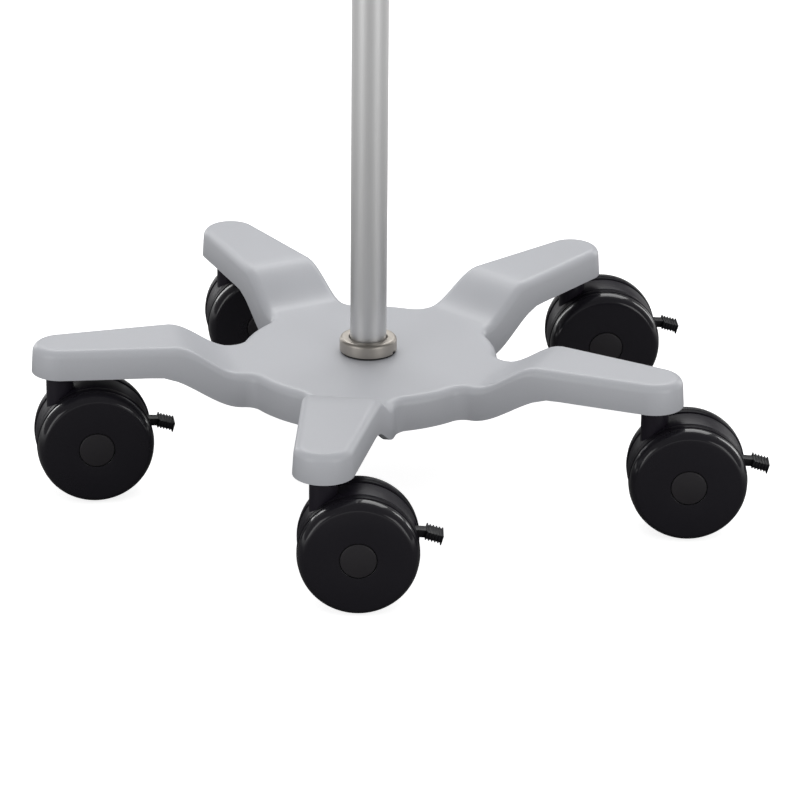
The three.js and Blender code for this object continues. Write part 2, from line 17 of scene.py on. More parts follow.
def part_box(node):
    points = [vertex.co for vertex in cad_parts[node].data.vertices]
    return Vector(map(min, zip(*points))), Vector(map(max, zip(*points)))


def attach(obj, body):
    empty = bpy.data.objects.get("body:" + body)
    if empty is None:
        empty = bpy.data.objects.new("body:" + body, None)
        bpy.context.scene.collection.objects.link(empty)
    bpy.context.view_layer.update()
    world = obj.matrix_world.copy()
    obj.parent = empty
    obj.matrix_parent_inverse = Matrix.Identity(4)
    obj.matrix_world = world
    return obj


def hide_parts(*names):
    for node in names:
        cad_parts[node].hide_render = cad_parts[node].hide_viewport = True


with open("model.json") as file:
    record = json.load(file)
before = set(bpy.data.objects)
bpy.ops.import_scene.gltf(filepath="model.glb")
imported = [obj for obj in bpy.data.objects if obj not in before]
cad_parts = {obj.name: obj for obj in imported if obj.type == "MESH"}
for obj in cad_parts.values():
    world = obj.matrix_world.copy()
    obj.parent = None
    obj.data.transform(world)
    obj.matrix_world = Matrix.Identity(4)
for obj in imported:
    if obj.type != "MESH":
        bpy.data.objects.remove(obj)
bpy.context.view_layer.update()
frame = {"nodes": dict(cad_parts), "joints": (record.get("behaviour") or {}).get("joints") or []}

scene = bpy.context.scene
MM = 0.001

# %% [markdown]
# ## Where to stand
# A product view of a low, wide object is taken from far away with a long lens, a little from
# above, so that parallel edges stay nearly parallel. The camera is described as a person would
# set up a tripod: which way it looks, how high it is, how far away, and how it is tipped.

# %% Camera
AIM = Vector((0.02885, -0.00289, 0.07002))
AZIMUTH = math.radians(7.14)
ELEVATION = math.radians(22.74)
DISTANCE = 3.7265
ROLL = math.radians(0.56)
LENS = 191.09

camera = bpy.data.objects.new("camera", bpy.data.cameras.new("camera"))
scene.collection.objects.link(camera)
back = Vector((
    math.sin(AZIMUTH) * math.cos(ELEVATION),
    -math.cos(AZIMUTH) * math.cos(ELEVATION),
    math.sin(ELEVATION),
))
camera.location = AIM + back * DISTANCE
camera.rotation_mode = "QUATERNION"
camera.rotation_quaternion = (
    (-back).to_track_quat("-Z", "Y") @ Matrix.Rotation(ROLL, 4, "Z").to_quaternion()
)
camera.data.lens = LENS
camera.data.clip_end = 50
scene.camera = camera
print(f"camera: {DISTANCE:.2f} m away, {math.degrees(ELEVATION):.1f} degrees up")

# %% [markdown]
# ## Shared tools
# Almost every piece here is round, so most of them start as a half section that is spun about
# an axis. The corners of a section are rounded with true arcs before it is spun, which is how
# a lathe tool or a mould would leave them.

# %% Rounded sections
def rounded(corners, steps=5):
    """The polyline through (radius, height, rounding) corners, each rounding as an arc."""
    points = []
    for i, (r, z, fillet) in enumerate(corners):
        here = Vector((r, z))
        if not fillet:
            points.append(here)
            continue
        before = (Vector(corners[i - 1][:2]) - here).normalized()
        after = (Vector(corners[(i + 1) % len(corners)][:2]) - here).normalized()
        half = before.angle(after) / 2
        centre = here + (before + after).normalized() * fillet / math.sin(half)
        start = here + before * fillet / math.tan(half) - centre
        sweep = start.angle_signed(here + after * fillet / math.tan(half) - centre)
        for step in range(steps + 1):
            points.append(centre + Matrix.Rotation(-sweep * step / steps, 2) @ start)
    return points


def turned(corners, around=96, closed=True, steps=5):
    """A bmesh body of revolution about Z, from a half section in millimetres."""
    bm = bmesh.new()
    verts = [bm.verts.new((p.x * MM, 0, p.y * MM)) for p in rounded(corners, steps)]
    edges = [bm.edges.new(pair) for pair in zip(verts, verts[1:])]
    if closed:
        edges.append(bm.edges.new((verts[-1], verts[0])))
    bmesh.ops.spin(
        bm, geom=verts + edges, cent=(0, 0, 0), axis=(0, 0, 1),
        angle=2 * math.pi, steps=around, use_merge=True,
    )
    return tidied(bm)


def tidied(bm):
    """Merges doubled corners and turns every face outwards."""
    bmesh.ops.remove_doubles(bm, verts=bm.verts, dist=0.002 * MM)
    bmesh.ops.recalc_face_normals(bm, faces=bm.faces)
    return bm


def block(low, high):
    """A bmesh box between two corners, in millimetres."""
    bm = bmesh.new()
    low, high = Vector(low) * MM, Vector(high) * MM
    size = Matrix.Diagonal((*(high - low), 1))
    bmesh.ops.create_cube(bm, size=1, matrix=Matrix.Translation((low + high) / 2) @ size)
    return bm


def merged(bodies):
    """One bmesh that holds several closed bodies."""
    whole = bmesh.new()
    for body in bodies:
        mesh = bpy.data.meshes.new("part")
        body.to_mesh(mesh)
        body.free()
        whole.from_mesh(mesh)
        bpy.data.meshes.remove(mesh)
    return whole


def bevelled(bm, width, segments=3, sharper_than=40):
    """Rounds every edge that is sharper than an angle."""
    limit = math.radians(sharper_than)
    edges = [e for e in bm.edges if e.is_manifold and e.calc_face_angle() > limit]
    bmesh.ops.bevel(
        bm, geom=edges, offset=width * MM, offset_type="OFFSET", affect="EDGES",
        segments=segments, profile=0.5, material=-1, clamp_overlap=True,
    )
    return tidied(bm)


# %% From mesh to piece
def piece(bm, name, body, material, nodes, smooth=32):
    """Makes the bmesh a piece that rides on a body and stands for CAD nodes."""
    mesh = bpy.data.meshes.new(name)
    bm.to_mesh(mesh)
    bm.free()
    mesh.shade_smooth()
    mesh.set_sharp_from_angle(angle=math.radians(smooth))
    mesh.materials.append(material)
    made = bpy.data.objects.new(name, mesh)
    scene.collection.objects.link(made)
    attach(made, body)
    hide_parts(*nodes)
    return made


# %% [markdown]
# ## Finishes
# Each finish is one Principled shader. What makes it look real is small: a powder coat has a
# faint orange-peel surface, drawn aluminium has fine lines along its length, turned metal has
# lines round its axis, and moulded plastic has a grain that only shows where light grazes it.
# Two node groups make this. One gives the fine grain and its bump, the other the larger soft
# patches that handling leaves. Every finish uses both, each with its own values.

# %% Node groups
def new_group(name, inputs, outputs):
    """An empty shader node group with named sockets, and its two end nodes."""
    group = bpy.data.node_groups.new(name, "ShaderNodeTree")
    for label, kind, value in inputs:
        socket = group.interface.new_socket(label, in_out="INPUT", socket_type=kind)
        if value is not None:
            socket.default_value = value
    for label, kind in outputs:
        group.interface.new_socket(label, in_out="OUTPUT", socket_type=kind)
    return group, group.nodes.new("NodeGroupInput"), group.nodes.new("NodeGroupOutput")


def add(tree, kind, **values):
    """A node in a tree, with its properties and its input values set by name."""
    node = tree.nodes.new(kind)
    for key, value in values.items():
        if hasattr(node, key) and key not in node.inputs:
            setattr(node, key, value)
        else:
            node.inputs[key.replace("_", " ")].default_value = value
    return node


def fine_surface():
    """Noise on Object coordinates, stretched by a scale vector: a mask and a bump normal."""
    group, ends_in, ends_out = new_group(
        "fine_surface",
        [
            ("Stretch", "NodeSocketVector", (1, 1, 1)),
            ("Scale", "NodeSocketFloat", 600.0),
            ("Depth", "NodeSocketFloat", 0.00002),
            ("Strength", "NodeSocketFloat", 0.3),
        ],
        [("Mask", "NodeSocketFloat"), ("Normal", "NodeSocketVector")],
    )
    link = group.links.new
    place = add(group, "ShaderNodeTexCoord")
    stretch = add(group, "ShaderNodeVectorMath", operation="MULTIPLY")
    noise = add(group, "ShaderNodeTexNoise", Detail=3.0, Roughness=0.55)
    bump = add(group, "ShaderNodeBump")
    link(place.outputs["Object"], stretch.inputs[0])
    link(ends_in.outputs["Stretch"], stretch.inputs[1])
    link(stretch.outputs["Vector"], noise.inputs["Vector"])
    link(ends_in.outputs["Scale"], noise.inputs["Scale"])
    link(noise.outputs["Fac"], bump.inputs["Height"])
    link(ends_in.outputs["Depth"], bump.inputs["Distance"])
    link(ends_in.outputs["Strength"], bump.inputs["Strength"])
    link(noise.outputs["Fac"], ends_out.inputs["Mask"])
    link(bump.outputs["Normal"], ends_out.inputs["Normal"])
    return group


FINE_SURFACE = fine_surface()


def handling():
    """Large, soft patches where a surface was wiped or touched, as a value about 0.5."""
    group, ends_in, ends_out = new_group(
        "handling",
        [("Scale", "NodeSocketFloat", 9.0), ("Contrast", "NodeSocketFloat", 1.0)],
        [("Mask", "NodeSocketFloat")],
    )
    link = group.links.new
    place = add(group, "ShaderNodeTexCoord")
    noise = add(group, "ShaderNodeTexNoise", Detail=4.0, Roughness=0.5)
    centred = add(group, "ShaderNodeMath", operation="SUBTRACT")
    centred.inputs[1].default_value = 0.5
    scaled = add(group, "ShaderNodeMath", operation="MULTIPLY_ADD")
    scaled.inputs[2].default_value = 0.5
    link(place.outputs["Object"], noise.inputs["Vector"])
    link(ends_in.outputs["Scale"], noise.inputs["Scale"])
    link(noise.outputs["Fac"], centred.inputs[0])
    link(centred.outputs[0], scaled.inputs[0])
    link(ends_in.outputs["Contrast"], scaled.inputs[1])
    link(scaled.outputs[0], ends_out.inputs["Mask"])
    return group


HANDLING = handling()


# %% One finish
TONE_MASK = (0.1, 0.4)
GLOSS_MASK = (0.25, 0.75)


def finish(
    name, colour, rough, metal=0.0, stretch=(1, 1, 1), grain=600.0, depth=0.02, strength=0.3,
    colour_change=0.06, rough_change=0.12, patch=9.0, **shader,
):
    """A material: a base colour and roughness that vary a little, over a fine surface."""
    material = bpy.data.materials.new(name)
    material.use_nodes = True
    tree = material.node_tree
    surface = tree.nodes["Principled BSDF"]
    surface.inputs["Metallic"].default_value = metal
    link = tree.links.new
    fine = add(
        tree, "ShaderNodeGroup", node_tree=FINE_SURFACE,
        Stretch=stretch, Scale=grain, Depth=depth * MM, Strength=strength,
    )
    touched = add(tree, "ShaderNodeGroup", node_tree=HANDLING, Scale=patch)
    both = add(tree, "ShaderNodeMath", operation="MULTIPLY")
    tone = add(
        tree, "ShaderNodeMapRange", From_Min=TONE_MASK[0], From_Max=TONE_MASK[1],
    )
    darker = [c * (1 - colour_change) for c in colour]
    lighter = [min(1.0, c * (1 + colour_change)) for c in colour]
    shade = add(tree, "ShaderNodeMix", data_type="RGBA", A=(*darker, 1), B=(*lighter, 1))
    gloss = add(
        tree, "ShaderNodeMapRange", From_Min=GLOSS_MASK[0], From_Max=GLOSS_MASK[1],
        To_Min=rough * (1 - rough_change), To_Max=rough * (1 + rough_change),
    )
    link(fine.outputs["Mask"], both.inputs[0])
    link(touched.outputs["Mask"], both.inputs[1])
    link(both.outputs[0], tone.inputs["Value"])
    link(tone.outputs["Result"], shade.inputs["Factor"])
    link(shade.outputs["Result"], surface.inputs["Base Color"])
    link(touched.outputs["Mask"], gloss.inputs["Value"])
    link(gloss.outputs["Result"], surface.inputs["Roughness"])
    link(fine.outputs["Normal"], surface.inputs["Normal"])
    for socket, value in shader.items():
        surface.inputs[socket.replace("_", " ")].default_value = value
    return material


POWDER_COAT = finish(
    "powder_coat", (0.49, 0.50, 0.53), 0.42, grain=900, depth=0.03, strength=0.35,
    colour_change=0.02, Coat_Weight=0.12, Coat_Roughness=0.28,
)
ALUMINIUM = finish(
    "satin_aluminium", (0.66, 0.66, 0.66), 0.46, metal=1.0, stretch=(1, 1, 0.012), grain=1500,
    depth=0.01, strength=0.25, colour_change=0.03, rough_change=0.06,
)
NICKEL = finish(
    "brushed_nickel", (0.46, 0.43, 0.39), 0.46, metal=1.0, stretch=(0.25, 0.25, 4), grain=900,
    depth=0.015, strength=0.3, colour_change=0.06,
)
STEEL = finish("plated_steel", (0.45, 0.45, 0.46), 0.34, metal=1.0, grain=700)
TREAD = finish(
    "polyurethane_tread", (0.009, 0.008, 0.011), 0.3, grain=700, depth=0.02, strength=0.25,
    patch=30, Specular_IOR_Level=0.05,
)
GLOSS = finish(
    "gloss_moulding", (0.0125, 0.0115, 0.015), 0.3, grain=400, depth=0.01, strength=0.08,
    rough_change=0.2, patch=20, Specular_IOR_Level=0.1, Coat_Weight=0.7, Coat_Roughness=0.05,
)
MATTE = finish(
    "grained_moulding", (0.018, 0.016, 0.019), 0.5, grain=1400, depth=0.03, strength=0.5,
    patch=30,
)
HOOD = finish(
    "hood_moulding", (0.012, 0.010, 0.016), 0.4, grain=1200, depth=0.02, strength=0.4, patch=30,
    Specular_IOR_Level=0.2,
)
LEVER = finish(
    "lever_moulding", (0.009, 0.009, 0.011), 0.42, grain=1400, depth=0.03, strength=0.4,
    patch=30, Specular_IOR_Level=0.25,
)
# Black rubber for the washer and its key; the black also stands as painted shade for the shadow
# gap under the collar and in its slot.
RUBBER_AND_GAP_SHADE = finish("black_rubber_and_gap_shade", (0.012, 0.012, 0.012), 0.6, grain=900, patch=40)
print("finishes:", len(bpy.data.materials))

# %% [markdown]
# ## The casting
# The base is one casting, open underneath, whose walls lean in slightly so that it leaves the
# mould. In plan it is a hub with five legs. The plan of half a leg is drawn once, with one
# corner swept along arcs and pulled along the side, then mirrored and turned five times. The
# outline is filled, and the inset face is lifted, which leaves the leaning walls behind it.

# %% Sizes of the casting, in millimetres
LEGS = 5
LEG_STEP = 2 * math.pi / LEGS
FRONT = -math.pi / 2
GAP = 0.3
SWIVEL_GAP = 1.2
HUB_RADIUS = 114
VALLEY_RADIUS = 15
ROOT_HALF = 39
TIP_HALF = 26
RISE = 56
UNDER = 72
EDGE_ROUND = 7
DRAFT = 1.5
SHELL = 5.5
DECK_BORDER = 1.2

base_low, base_high = (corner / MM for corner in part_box("base"))
HUB_UNDER = base_low.z
LEG_TOP = base_high.z
HUB_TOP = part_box("collar_washer")[0].z / MM - GAP
LEG_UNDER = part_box("front_housing")[1].z / MM + SWIVEL_GAP
TIP_CENTRE = -base_low.y - TIP_HALF
VALLEY_Y = ROOT_HALF + VALLEY_RADIUS
VALLEY_X = math.sqrt((HUB_RADIUS + VALLEY_RADIUS) ** 2 - VALLEY_Y**2)
VALLEY_TURN = math.atan2(VALLEY_Y, VALLEY_X)
STATION = 5
TAPER_STEPS = 8
RISE_STATIONS = [VALLEY_X + STATION * i for i in range(int(RISE / STATION) + 1)]
TAPER_STATIONS = [
    RISE_STATIONS[-1] + (TIP_CENTRE - RISE_STATIONS[-1]) * i / TAPER_STEPS
    for i in range(1, TAPER_STEPS)
]
STATIONS = RISE_STATIONS + TAPER_STATIONS
print(f"hub: {HUB_UNDER:.1f} to {HUB_TOP:.1f} mm high")
print(f"leg ends: {LEG_UNDER:.1f} to {LEG_TOP:.1f} mm high")


def ease(value, start, end):
    """0 before start, 1 after end, and a smooth S between them."""
    t = min(max((value - start) / (end - start), 0), 1)
    return t * t * (3 - 2 * t)


def leg_half(along):
    """Half the width of a leg, at a distance along it."""
    share = (along - VALLEY_X) / (TIP_CENTRE - VALLEY_X)
    return ROOT_HALF + (TIP_HALF - ROOT_HALF) * share


# %% Plan of the casting
def plan_outline():
    """The closed outline of the casting in the plane z = 0, as one face."""
    bm = bmesh.new()

    def sweep(corner, centre, turn, steps):
        made = bmesh.ops.spin(
            bm, geom=[corner], cent=Vector((*centre, 0)) * MM, axis=(0, 0, 1),
            angle=turn, steps=steps,
        )
        return made["geom_last"][0]

    def pull(corner, along, across):
        end = bm.verts.new(Vector((along, across, 0)) * MM)
        bm.edges.new((corner, end))
        return end

    half_step = LEG_STEP / 2
    corner = bm.verts.new(
        Vector((math.cos(half_step), math.sin(half_step), 0)) * HUB_RADIUS * MM
    )
    corner = sweep(corner, (0, 0), VALLEY_TURN - half_step, 5)
    corner = sweep(corner, (VALLEY_X, VALLEY_Y), math.pi / 2 - VALLEY_TURN, 8)
    for along in STATIONS[1:]:
        corner = pull(corner, along, leg_half(along))
    corner = pull(corner, TIP_CENTRE, TIP_HALF)
    sweep(corner, (TIP_CENTRE, 0), -math.pi / 2, 12)
    half = bm.verts[:] + bm.edges[:]
    bmesh.ops.mirror(bm, geom=half, merge_dist=0.001 * MM, axis="Y")
    bmesh.ops.rotate(bm, verts=bm.verts, cent=(0, 0, 0), matrix=Matrix.Rotation(FRONT, 3, "Z"))
    whole = bm.verts[:] + bm.edges[:]
    bmesh.ops.spin(
        bm, geom=whole, cent=(0, 0, 0), axis=(0, 0, 1), angle=LEG_STEP * (LEGS - 1),
        steps=LEGS - 1, use_duplicate=True,
    )
    bmesh.ops.remove_doubles(bm, verts=bm.verts, dist=0.01 * MM)
    bmesh.ops.contextual_create(bm, geom=bm.edges[:])
    return bm


# %% [markdown]
# The legs rise in a soft S from the hub to their ends. A flat blank can't bend without points
# to bend at, so each leg is first sliced across at even stations. Then every point is moved
# up by a smooth curve of its distance along its own leg: the top of the leg by one amount, its
# lower edge by another, and the wall between them in proportion.

# %% Slice and bend
def on_leg(place):
    """Distance along the nearest leg, and that leg's direction."""
    turn = math.atan2(place.y, place.x) - FRONT
    leg = FRONT + round(turn / LEG_STEP) * LEG_STEP
    forward = Vector((math.cos(leg), math.sin(leg), 0))
    return place.dot(forward) / MM, forward


def snap_to_stations(bm, reach=1.4):
    """Moves points that the roundings left beside a station onto it."""
    for v in bm.verts:
        along, forward = on_leg(v.co)
        nearest = min(STATIONS, key=lambda station: abs(station - along))
        if abs(nearest - along) < reach and along > VALLEY_X - reach:
            v.co += forward * (nearest - along) * MM


def slice_legs(bm, stations):
    """Cuts edges across every leg at the stations, without parting it."""
    for i in range(LEGS):
        turn = FRONT + i * LEG_STEP
        forward = Vector((math.cos(turn), math.sin(turn), 0))
        for along in stations:
            bmesh.ops.bisect_plane(
                bm, geom=bm.verts[:] + bm.edges[:] + bm.faces[:], dist=0.02 * MM,
                plane_co=forward * along * MM, plane_no=forward,
            )


def bend(bm):
    """Lifts the legs: tops by the rise of the deck, lower edges by the rise of the skirt."""
    roll = HUB_TOP - EDGE_ROUND
    for v in bm.verts:
        along, _ = on_leg(v.co)
        top = (LEG_TOP - HUB_TOP) * ease(along, VALLEY_X, VALLEY_X + RISE)
        under = (LEG_UNDER - HUB_UNDER) * ease(along, VALLEY_X, VALLEY_X + UNDER)
        share = min(max((v.co.z / MM - HUB_UNDER) / (roll - HUB_UNDER), 0), 1)
        v.co.z += (under + (top - under) * share) * MM


def casting_skin():
    """Deck, rounded edge and leaning walls, one face thick and open underneath."""
    bm = plan_outline()
    bmesh.ops.translate(bm, verts=bm.verts, vec=(0, 0, HUB_UNDER * MM))
    deck = bm.faces[:]
    bmesh.ops.inset_region(
        bm, faces=deck, thickness=DRAFT * MM, use_boundary=True, use_even_offset=True,
    )
    bmesh.ops.translate(bm, verts=deck[0].verts[:], vec=(0, 0, (HUB_TOP - HUB_UNDER) * MM))
    rim = deck[0].edges[:]
    bmesh.ops.bevel(
        bm, geom=rim, offset=EDGE_ROUND * MM, offset_type="OFFSET", affect="EDGES",
        segments=7, profile=0.5, material=-1, clamp_overlap=False,
    )
    bm.faces.ensure_lookup_table()
    deck = max(bm.faces, key=lambda face: face.calc_area())
    bmesh.ops.inset_region(bm, faces=[deck], thickness=DECK_BORDER * MM, use_even_offset=True)
    snap_to_stations(bm)
    slice_legs(bm, STATIONS)
    bend(bm)
    return tidied(bm)


# %% [markdown]
# Under the deck the casting has what holds it together: a socket for the tube, a boss for each
# caster's stem and a rib under each leg between them. Cylinders and a bar are enough for
# these, and the bar is sliced and bent just as the deck above it. They are closed bodies that
# overlap the wall, as a casting's ribs run into it.

# %% Inside the casting
SOCKET_WALL = 9
BOSS_WALL = 7
RIB_HALF = 2.5
RIB_SETBACK = 4
UNDER_DECK = 3
POLE_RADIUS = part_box("pole")[1].x / MM
STEM_RADIUS = 5.5
stem_at = {joint["child"]: Vector(joint["pos_m"]) for joint in frame["joints"]}
STEM_CIRCLE = stem_at["front_swivel"].to_2d().length / MM


def ring_body(inner, outer, low, high):
    """A plain ring about Z."""
    section = [(inner, low, 0), (outer, low, 0), (outer, high, 0), (inner, high, 0)]
    return turned(section, around=48)


def casting_inside():
    """The socket, the five bosses and the five ribs, as one bmesh."""
    socket_top = HUB_TOP - UNDER_DECK
    boss_top = LEG_TOP - UNDER_DECK
    parts = [ring_body(POLE_RADIUS + GAP, POLE_RADIUS + SOCKET_WALL, HUB_UNDER, socket_top)]
    for i in range(LEGS):
        turn = Matrix.Rotation(FRONT + i * LEG_STEP, 4, "Z")
        boss = ring_body(STEM_RADIUS + GAP, STEM_RADIUS + BOSS_WALL, LEG_UNDER, boss_top)
        bmesh.ops.translate(boss, verts=boss.verts, vec=(STEM_CIRCLE * MM, 0, 0))
        rib = block(
            (POLE_RADIUS + SOCKET_WALL / 2, -RIB_HALF, HUB_UNDER + RIB_SETBACK),
            (STEM_CIRCLE - BOSS_WALL, RIB_HALF, socket_top),
        )
        for body in (boss, rib):
            bmesh.ops.transform(body, matrix=turn, verts=body.verts)
        slice_legs(rib, RISE_STATIONS[::2])
        bend(rib)
        parts += [boss, tidied(rib)]
    return merged(parts)


# %% The whole casting
skin = casting_skin()
bmesh.ops.solidify(skin, geom=skin.faces[:], thickness=SHELL * MM)
casting = bevelled(tidied(skin), 1.0, segments=2, sharper_than=55)
base = piece(
    merged([casting, casting_inside()]), "base_casting", "stand", POWDER_COAT,
    ["base"], smooth=40,
)
print("casting:", len(base.data.polygons), "faces")

# %% [markdown]
# ## Tube, collar and washer
# The tube is drawn aluminium, so it is turned here from a half section with real wall
# thickness. The collar round its foot is turned nickel with a generous rounded upper edge.
# A slot cut into the collar's lower edge takes the key of the dark washer beneath it.

# %% Tube and its cap
WALL = 1.65
pole_low, pole_high = (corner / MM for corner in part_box("pole"))
tube = turned([
    (POLE_RADIUS - WALL, pole_low.z, 0), (POLE_RADIUS, pole_low.z, 0),
    (POLE_RADIUS, pole_high.z, 0.4), (POLE_RADIUS - WALL, pole_high.z, 0.4),
], around=128)
piece(tube, "pole_tube", "stand", ALUMINIUM, ["pole"])
print(f"tube: {2 * POLE_RADIUS:.2f} mm across, {pole_high.z - pole_low.z:.0f} mm long")

cap_low, cap_high = (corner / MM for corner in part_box("pole_cap"))
SPIGOT = POLE_RADIUS - WALL - GAP
cap = turned([
    (0, cap_low.z, 0), (SPIGOT, cap_low.z, 0.8), (SPIGOT, pole_high.z + GAP, 0),
    (POLE_RADIUS, pole_high.z + GAP, 0.3), (POLE_RADIUS, cap_high.z, 2.2), (0, cap_high.z, 0),
], closed=False)
piece(cap, "pole_end_cap", "stand", MATTE, ["pole_cap"])

# %% Collar
NOTCH_HALF = 2.5
NOTCH_HEIGHT = 2.2
NOTCH_LEG = 1
NOTCH_FLOOR = 2
CUT_PAST = 2
COLLAR_BORE = POLE_RADIUS + 0.6
COLLAR_ROUND = 3.2
WASHER_SETBACK = 0.8
collar_low, collar_high = (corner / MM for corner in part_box("collar"))
COLLAR_RADIUS = collar_high.y


def carved(bm, cutter):
    """A closed body less another, cut with an exact boolean."""
    parts = []
    for body in (bm, cutter):
        mesh = bpy.data.meshes.new("carve")
        body.to_mesh(mesh)
        body.free()
        parts.append(bpy.data.objects.new("carve", mesh))
        scene.collection.objects.link(parts[-1])
    cut = parts[0].modifiers.new("cut", "BOOLEAN")
    cut.operation, cut.solver, cut.object = "DIFFERENCE", "EXACT", parts[1]
    graph = bpy.context.evaluated_depsgraph_get()
    carved_mesh = bpy.data.meshes.new_from_object(parts[0].evaluated_get(graph))
    result = bmesh.new()
    result.from_mesh(carved_mesh)
    for part in parts:
        bpy.data.objects.remove(part)
    bpy.data.meshes.remove(carved_mesh)
    return tidied(result)


collar_body = turned([
    (COLLAR_BORE, collar_low.z, 0.4), (COLLAR_RADIUS, collar_low.z, 0.5),
    (COLLAR_RADIUS, collar_high.z, COLLAR_ROUND), (COLLAR_BORE, collar_high.z, 1.2),
], around=128, steps=8)
slot_cut = block(
    (COLLAR_BORE + NOTCH_FLOOR, -NOTCH_HALF, collar_low.z - CUT_PAST),
    (COLLAR_RADIUS + CUT_PAST, NOTCH_HALF, collar_low.z + NOTCH_HEIGHT),
)
notch_turn = Matrix.Rotation(FRONT + NOTCH_LEG * LEG_STEP, 4, "Z")
bmesh.ops.transform(slot_cut, matrix=notch_turn, verts=slot_cut.verts)
collar = carved(collar_body, slot_cut)
piece(collar, "nickel_collar", "stand", NICKEL, ["collar"])

# The washer and its key are black rubber, and that black is also painted shade for the thin shadow
# gap under the collar.
washer_low, washer_high = (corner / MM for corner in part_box("collar_washer"))
WASHER_TOP = collar_low.z - GAP
WASHER_RADIUS = COLLAR_RADIUS - WASHER_SETBACK
washer = turned([
    (COLLAR_BORE, washer_low.z, 0), (WASHER_RADIUS, washer_low.z, 0.2),
    (WASHER_RADIUS, WASHER_TOP, 0.2), (COLLAR_BORE, WASHER_TOP, 0),
])
key = block(
    (COLLAR_BORE + NOTCH_FLOOR + GAP, -NOTCH_HALF + GAP, washer_low.z + GAP),
    (WASHER_RADIUS - GAP, NOTCH_HALF - GAP, washer_high.z),
)
bmesh.ops.transform(key, matrix=notch_turn, verts=key.verts)
piece(merged([washer, key]), "dark_washer", "stand", RUBBER_AND_GAP_SHADE, ["collar_washer"])
print(f"collar: {2 * COLLAR_RADIUS:.1f} mm across, {collar_high.z - collar_low.z:.1f} mm high")

# %% [markdown]
# ## The casters
# All five casters are alike, so each of their pieces is shaped once where the caster would
# stand on the Z axis, trailing along +X with its axle along Y. A piece is then copied to each
# caster: the frame's joints say where its stem is and which way it trails.

# %% Sizes of a caster, in millimetres
tyre_low, tyre_high = (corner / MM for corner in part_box("front_tyre_a"))
TREAD_RADIUS = (tyre_high.z - tyre_low.z) / 2
NECK_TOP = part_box("front_housing")[1].z / MM
HOOD_HALF = 12
HOOD_RADIUS = TREAD_RADIUS - 0.6
WHEEL_INNER = HOOD_HALF + 1
TYRE_WIDTH = 8
TYRE_OUTER = WHEEL_INNER + TYRE_WIDTH
RIM_RADIUS = TREAD_RADIUS - 6.5
COVER_RIM = TYRE_OUTER + GAP
COVER_FACE = TYRE_OUTER + 12.4
COVER_RADIUS = TREAD_RADIUS - 0.5
COVER_FACE_RADIUS = COVER_RADIUS - 6.3
CAP_RADIUS = 15
CAP_GROOVE = 0.7
CAP_PROUD = 0.5
CAP_THICK = 2.6
BORE = 4.3
LIP = 0.8
FACE_BORDER = 1.5
SHOULDER_STEPS = 16
CASTERS = ["front", "right", "back_right", "back_left", "left"]
hub_at = {name: stem_at[f"{name}_wheel_a"] for name in CASTERS}
TRAIL = (hub_at["front"] - stem_at["front_swivel"]).to_2d().length / MM
print(f"wheels: {2 * TREAD_RADIUS:.1f} mm across, trailing their stems by {TRAIL:.1f} mm")


def caster_place(name):
    """The matrix that carries a piece from the Z axis to the caster of that name."""
    stem = stem_at[f"{name}_swivel"]
    trailing = (hub_at[name] - stem).to_2d()
    turn = math.atan2(trailing.y, trailing.x)
    return Matrix.Translation((stem.x, stem.y, 0)) @ Matrix.Rotation(turn, 4, "Z")


def on_axle(bm, side):
    """Lays a piece made along Z onto the axle, its outer face to side a (-Y) or side b (+Y)."""
    turn = Matrix.Rotation(math.pi / 2 if side == "a" else -math.pi / 2, 4, "X")
    place = Matrix.Translation(Vector((TRAIL, 0, TREAD_RADIUS)) * MM) @ turn
    bmesh.ops.transform(bm, matrix=place, verts=bm.verts)
    return bm


def on_casters(make, label, body, material, node, smooth=32):
    """Makes one piece for every caster; body and node are the frame's names after the caster's."""
    for name in CASTERS:
        bm = make()
        bmesh.ops.transform(bm, matrix=caster_place(name), verts=bm.verts)
        piece(bm, f"{name}_{label}", f"{name}_{body}", material, [f"{name}_{node}"], smooth)


# %% [markdown]
# Each wheel is three pieces: a tread, a domed cover and a hub cap. All are turned. The cover
# matters most, because it fills the view: its shoulder falls away in a quarter ellipse from a
# flat face to a thin lip beside the tread, and that lip catches the light as a fine line.

# %% Tread, cover and hub cap
def tread():
    """A ring of tread with softly rounded edges, about Z."""
    return turned([
        (RIM_RADIUS + GAP, WHEEL_INNER, 0.3), (TREAD_RADIUS, WHEEL_INNER, 1.6),
        (TREAD_RADIUS, TYRE_OUTER, 1.6), (RIM_RADIUS + GAP, TYRE_OUTER, 0.3),
    ], around=128)


def cover():
    """A domed wheel cover with its hub, and a recess for the hub cap, about Z."""
    lip_top = COVER_RIM + LIP
    depth = COVER_FACE - COVER_RIM - LIP
    width = COVER_RADIUS - COVER_FACE_RADIUS
    shoulder = []
    for step in range(SHOULDER_STEPS + 1):
        angle = math.pi / 2 * step / SHOULDER_STEPS
        radius = COVER_FACE_RADIUS + width * math.cos(angle)
        shoulder.append((radius, lip_top + depth * math.sin(angle), 0))
    seat = CAP_RADIUS + CAP_GROOVE
    floor_at = COVER_FACE + CAP_PROUD - CAP_THICK
    return turned([
        (BORE, WHEEL_INNER, 0), (RIM_RADIUS, WHEEL_INNER, 0.5), (RIM_RADIUS, COVER_RIM, 0),
        (COVER_RADIUS, COVER_RIM, 0.35), *shoulder,
        (COVER_FACE_RADIUS - FACE_BORDER, COVER_FACE, 0),
        (seat, COVER_FACE, 0.3), (seat, floor_at, 0), (BORE, floor_at, 0),
    ], around=128)


def hub_cap():
    """A thin disc that stands slightly proud of the cover's recess, about Z."""
    foot = COVER_FACE + CAP_PROUD - CAP_THICK + GAP
    return turned([
        (0, foot, 0), (CAP_RADIUS, foot, 0), (CAP_RADIUS, COVER_FACE + CAP_PROUD, 0.8),
        (0, COVER_FACE + CAP_PROUD, 0),
    ], around=64, closed=False)


